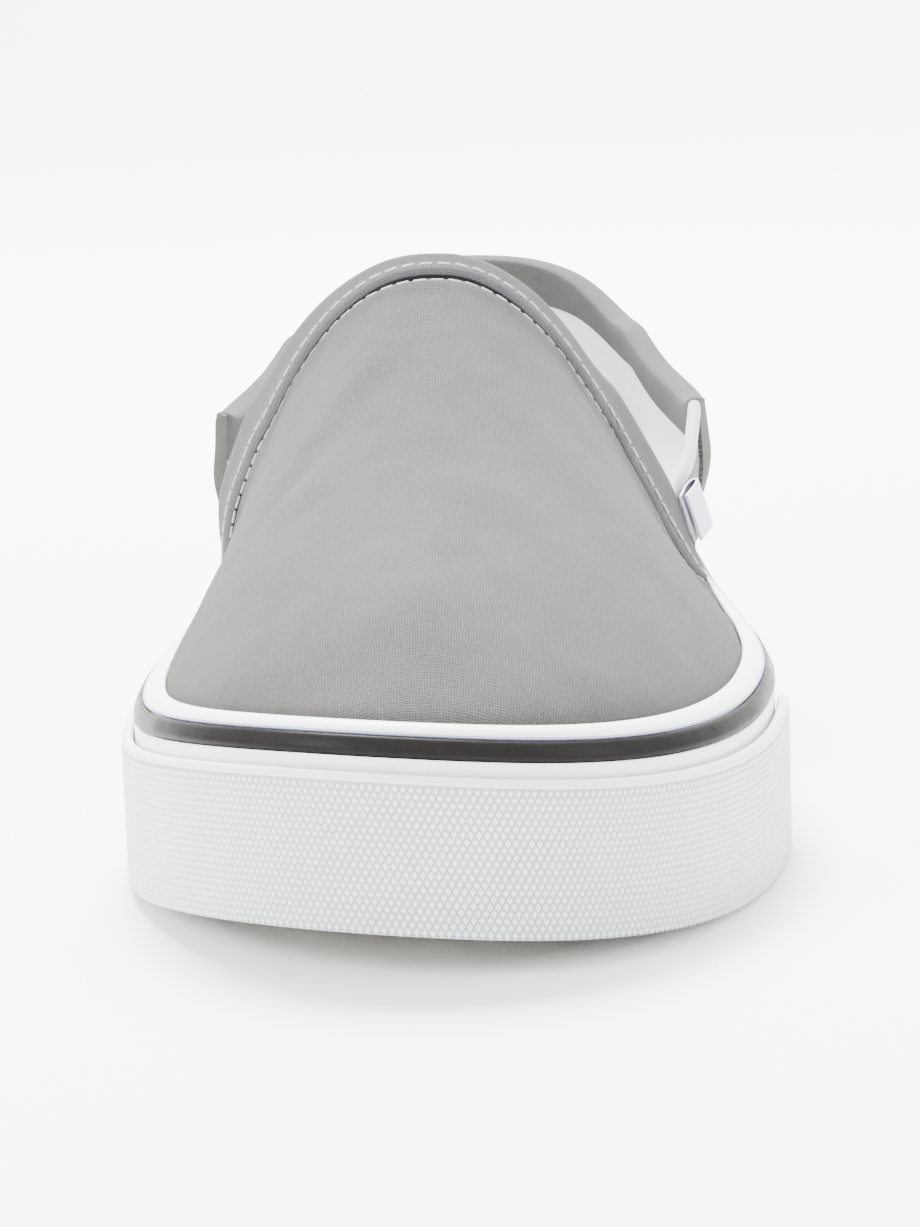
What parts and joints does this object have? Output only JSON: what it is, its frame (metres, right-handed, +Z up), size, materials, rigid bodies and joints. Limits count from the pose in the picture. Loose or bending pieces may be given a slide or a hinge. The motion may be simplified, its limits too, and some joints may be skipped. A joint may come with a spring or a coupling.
{
  "type": "slip-on sneaker",
  "caption": "Left canvas slip-on sneaker: hollow grey upper with padded collar and elastic gores, white rubber side band with a black stripe, textured toe strip and waffle sole",
  "frame": {"origin": "on the floor under the middle of the shoe's length and width", "axes": "+Z up, toe towards -Y and heel towards +Y, outer side of the foot towards +X"},
  "size_m": [0.1068, 0.2902, 0.0928],
  "materials": {
    "outsole_rubber": "matt pale rubber",
    "foxing_rubber": "satin white rubber",
    "stripe_rubber": "glossy black rubber",
    "bumper_rubber": "textured white rubber",
    "upper_canvas": "plain-woven grey canvas",
    "band_canvas": "folded grey canvas",
    "gore_elastic": "ribbed grey elastic",
    "collar_canvas": "padded grey canvas",
    "stay_canvas": "grey canvas strap",
    "insole_fabric": "off-white lining cloth",
    "tag_ribbon": "blank white ribbon"
  },
  "bodies": {
    "root": {"outsole": "outsole_rubber", "foxing": "foxing_rubber", "foxing_stripe": "stripe_rubber", "toe_bumper": "bumper_rubber", "upper": "upper_canvas", "throat_band": "band_canvas", "gore_lateral": "gore_elastic", "gore_medial": "gore_elastic", "collar": "collar_canvas", "heel_stay": "stay_canvas", "insole": "insole_fabric", "side_tag": "tag_ribbon"}
  },
  "joints": []
}
